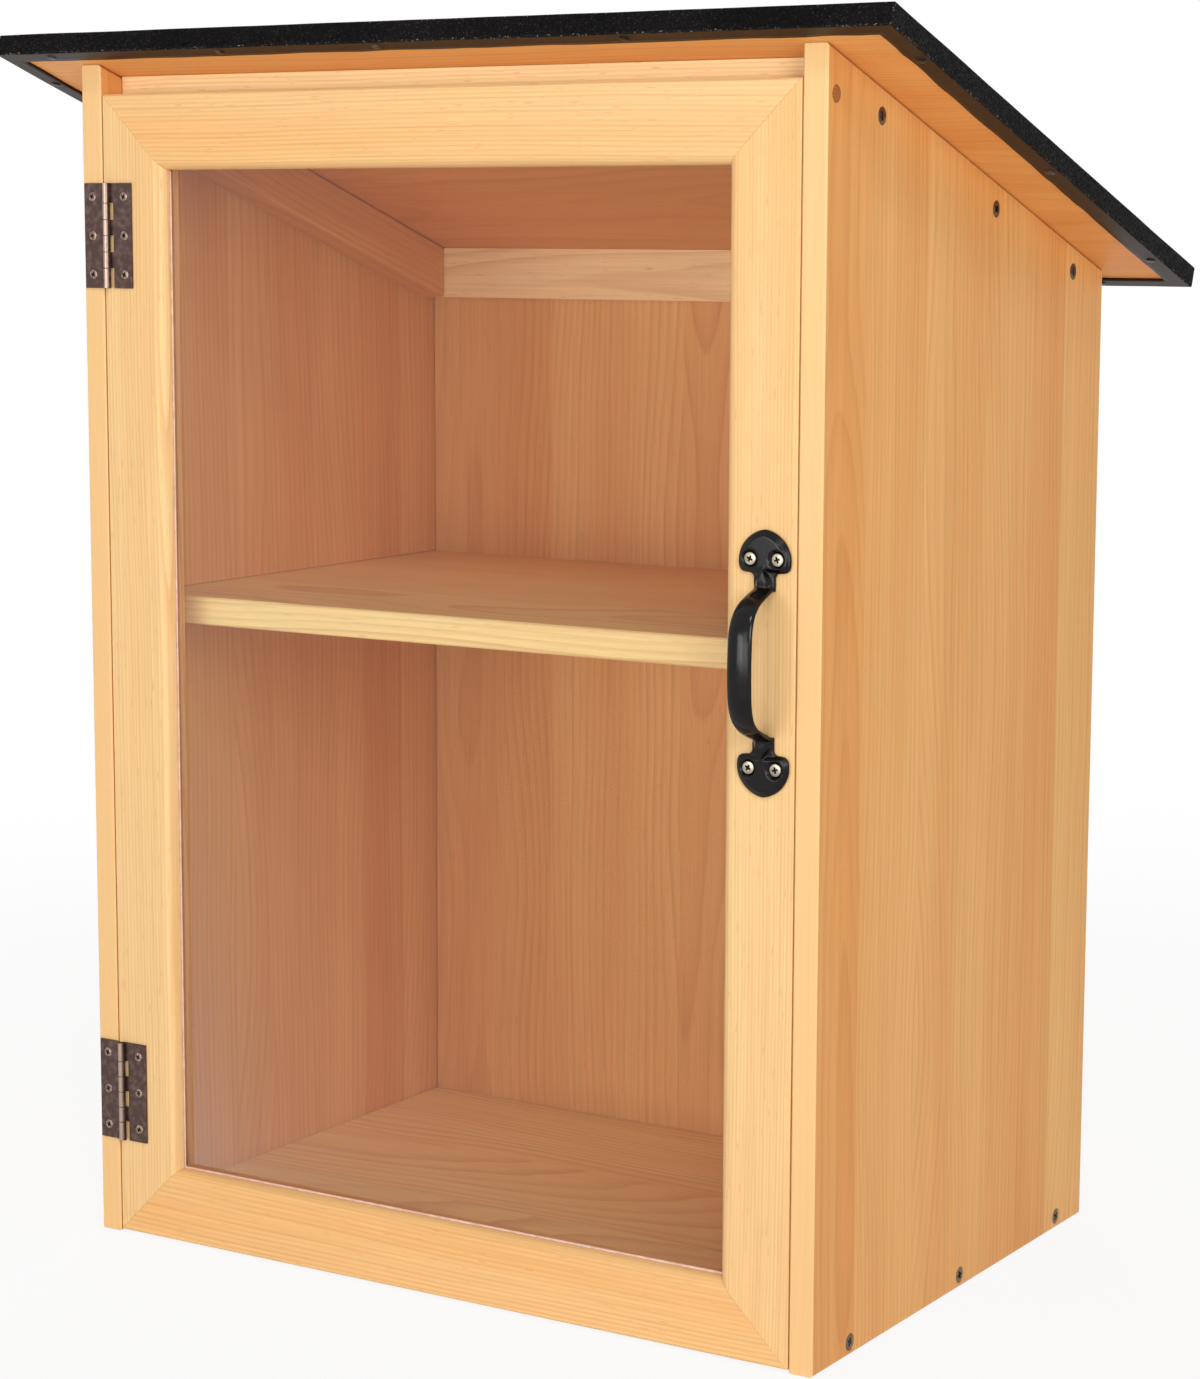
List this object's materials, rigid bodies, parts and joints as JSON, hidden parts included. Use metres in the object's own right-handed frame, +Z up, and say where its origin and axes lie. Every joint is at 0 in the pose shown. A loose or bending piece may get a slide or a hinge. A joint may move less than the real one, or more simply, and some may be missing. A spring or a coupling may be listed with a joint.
{
  "type": "street book exchange box",
  "caption": "Small pine book exchange cabinet with a glazed, side-hung door, a housed shelf and a felted lean-to roof, to stand on a post or a bench.",
  "frame": {"origin": "middle of the cabinet's footprint, on the underside of the floor panel", "axes": "+X to the latch side of the door, -Y out of the door, +Z up"},
  "size_m": [0.49, 0.3434, 0.5999],
  "materials": {
    "pine": "clear satin varnish on honey-coloured pine",
    "pine_bead": "stained pine",
    "plug_wood": "sanded flush",
    "roof_felt": "mineral-faced bitumen felt",
    "clear_sheet": "clear, polished",
    "antique_bronze": "antique bronze plated steel",
    "bronze_screw": "antique bronze plated",
    "black_enamel": "gloss black enamel on a casting",
    "nickel_screw": "nickel plated",
    "catch_plastic": "moulded"
  },
  "bodies": {
    "cabinet": {"side_panel_left": "pine", "side_panel_right": "pine", "floor_panel": "pine", "back_panel": "pine", "header_rail": "pine", "rear_rail": "pine", "rafter_left": "pine", "rafter_right": "pine", "shelf": "pine", "roof_board": "pine", "roof_felt": "roof_felt", "wood_plug": "plug_wood", "floor_screw_left_1": "bronze_screw", "floor_screw_left_2": "bronze_screw", "floor_screw_left_3": "bronze_screw", "floor_screw_right_1": "bronze_screw", "floor_screw_right_2": "bronze_screw", "floor_screw_right_3": "bronze_screw", "rafter_screw_left_1": "bronze_screw", "rafter_screw_left_2": "bronze_screw", "rafter_screw_left_3": "bronze_screw", "rafter_screw_right_1": "bronze_screw", "rafter_screw_right_2": "bronze_screw", "rafter_screw_right_3": "bronze_screw", "hinge_top_frame_leaf": "antique_bronze", "hinge_top_pin": "antique_bronze", "hinge_bottom_frame_leaf": "antique_bronze", "hinge_bottom_pin": "antique_bronze", "hinge_top_frame_screw_1": "bronze_screw", "hinge_top_frame_screw_2": "bronze_screw", "hinge_top_frame_screw_3": "bronze_screw", "hinge_bottom_frame_screw_1": "bronze_screw", "hinge_bottom_frame_screw_2": "bronze_screw", "hinge_bottom_frame_screw_3": "bronze_screw", "catch_case": "catch_plastic", "catch_magnet": "nickel_screw"},
    "door": {"door_stile_hinge": "pine", "door_stile_latch": "pine", "door_rail_bottom": "pine", "door_rail_top": "pine", "glazing_bead_stile_hinge": "pine_bead", "glazing_bead_stile_latch": "pine_bead", "glazing_bead_rail_bottom": "pine_bead", "glazing_bead_rail_top": "pine_bead", "door_pane": "clear_sheet", "hinge_top_door_leaf": "antique_bronze", "hinge_bottom_door_leaf": "antique_bronze", "hinge_top_door_screw_1": "bronze_screw", "hinge_top_door_screw_2": "bronze_screw", "hinge_top_door_screw_3": "bronze_screw", "hinge_bottom_door_screw_1": "bronze_screw", "hinge_bottom_door_screw_2": "bronze_screw", "hinge_bottom_door_screw_3": "bronze_screw", "pull_handle": "black_enamel", "handle_screw_1": "nickel_screw", "handle_screw_2": "nickel_screw", "handle_screw_3": "nickel_screw", "handle_screw_4": "nickel_screw", "catch_strike_plate": "nickel_screw"}
  },
  "joints": [
    {"name": "door_hinge", "type": "hinge", "parent": "cabinet", "child": "door", "pos_m": [-0.1897, -0.14865, 0.286], "axis": [0, 0, -1], "range_deg": [0, 180]}
  ]
}
